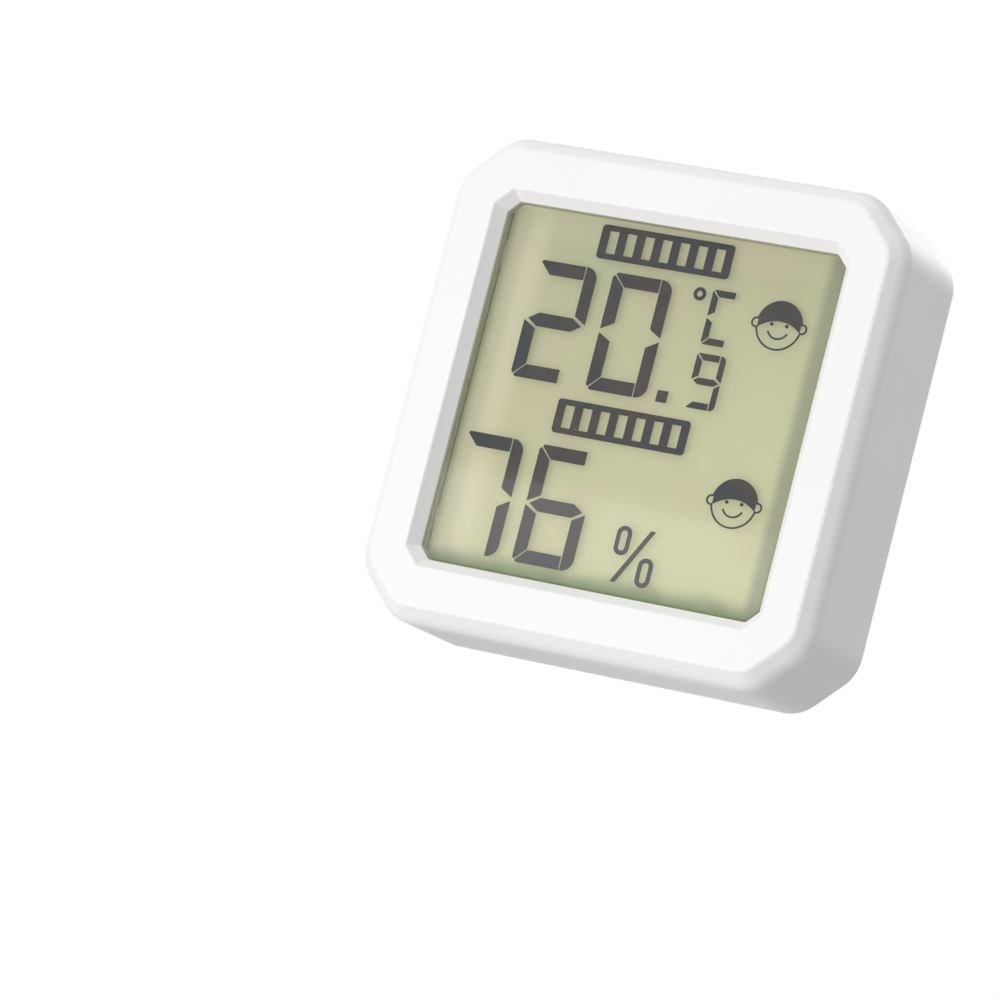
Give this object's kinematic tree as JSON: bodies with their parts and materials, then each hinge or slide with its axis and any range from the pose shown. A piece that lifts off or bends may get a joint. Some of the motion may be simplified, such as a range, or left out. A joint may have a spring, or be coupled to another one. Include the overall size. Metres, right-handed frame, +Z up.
{
  "type": "temperature humidity sensor",
  "caption": "Small square white room thermometer and hygrometer with a grey-green reflective display, cut corners, folding stand and keyhole back.",
  "frame": {"origin": "middle of the bottom of the body's box, on the surface that it stands on", "axes": "+X to the right as seen from the front, +Y towards the back plate, +Z up"},
  "size_m": [0.046, 0.0126, 0.046],
  "materials": {
    "white_shell": "fine satin moulded white",
    "clear_window": "clear polished acrylic",
    "black_tape": "thin black foam tape",
    "polarizer_film": "neutral polarising film",
    "display_glass": "thin polished glass",
    "dark_segments": "dark grey lit segments",
    "green_reflector": "grey-green reflective film",
    "white_tray": "white moulded tray",
    "zebra_rubber": "layered conductive rubber",
    "board_laminate": "green solder mask",
    "zinc_screws": "zinc plated steel",
    "black_resin": "black potting resin",
    "ceramic_chips": "ceramic with tinned ends",
    "nickel_can": "drawn nickel silver can",
    "sensor_package": "moulded sensor package",
    "probe_resin": "dark epoxy bead on tinned leads",
    "switch_body": "stamped switch cover",
    "switch_plunger": "black plunger",
    "grey_button": "pale grey key",
    "nickel_spring": "nickel plated spring steel",
    "cell_steel": "polished steel",
    "cell_seal": "moulded seal ring",
    "white_cover": "satin moulded white",
    "white_back": "fine textured moulded white",
    "white_stand": "satin moulded white"
  },
  "bodies": {
    "housing": {"front_case": "white_shell", "display_window": "clear_window", "window_adhesive": "black_tape", "lcd_front_polarizer": "polarizer_film", "lcd_front_glass": "display_glass", "lcd_segments": "dark_segments", "lcd_rear_glass": "display_glass", "lcd_reflector": "green_reflector", "lcd_holder": "white_tray", "zebra_strip": "zebra_rubber", "main_board": "board_laminate", "board_screws": "zinc_screws", "controller_chip": "black_resin", "board_components": "ceramic_chips", "clock_crystal": "nickel_can", "humidity_sensor": "sensor_package", "temperature_probe": "probe_resin", "unit_switch": "switch_body", "battery_contact_negative": "nickel_spring", "battery_contact_positive": "nickel_spring", "coin_cell_can": "cell_steel", "coin_cell_seal": "cell_seal", "coin_cell_cap": "cell_steel", "back_plate": "white_back", "housing_screws": "zinc_screws"},
    "stand": {"stand_leg": "white_stand"},
    "cover": {"battery_cover": "white_cover"},
    "button": {"unit_button": "grey_button", "switch_plunger": "switch_plunger"}
  },
  "joints": [
    {"name": "stand_hinge", "type": "hinge", "parent": "housing", "child": "stand", "pos_m": [0, 0.00505, 0.03], "axis": [1, 0, 0], "range_deg": [0, 50]},
    {"name": "battery_cover_turn", "type": "hinge", "parent": "housing", "child": "cover", "pos_m": [0, 0.0049, 0.0195], "axis": [0, 1, 0], "range_deg": [0, 45]},
    {"name": "unit_button_press", "type": "slide", "parent": "housing", "child": "button", "axis": [0, -1, 0], "range_m": [0, 0.0005], "stiffness_N_per_m": 500, "springref_m": -0.0005}
  ]
}
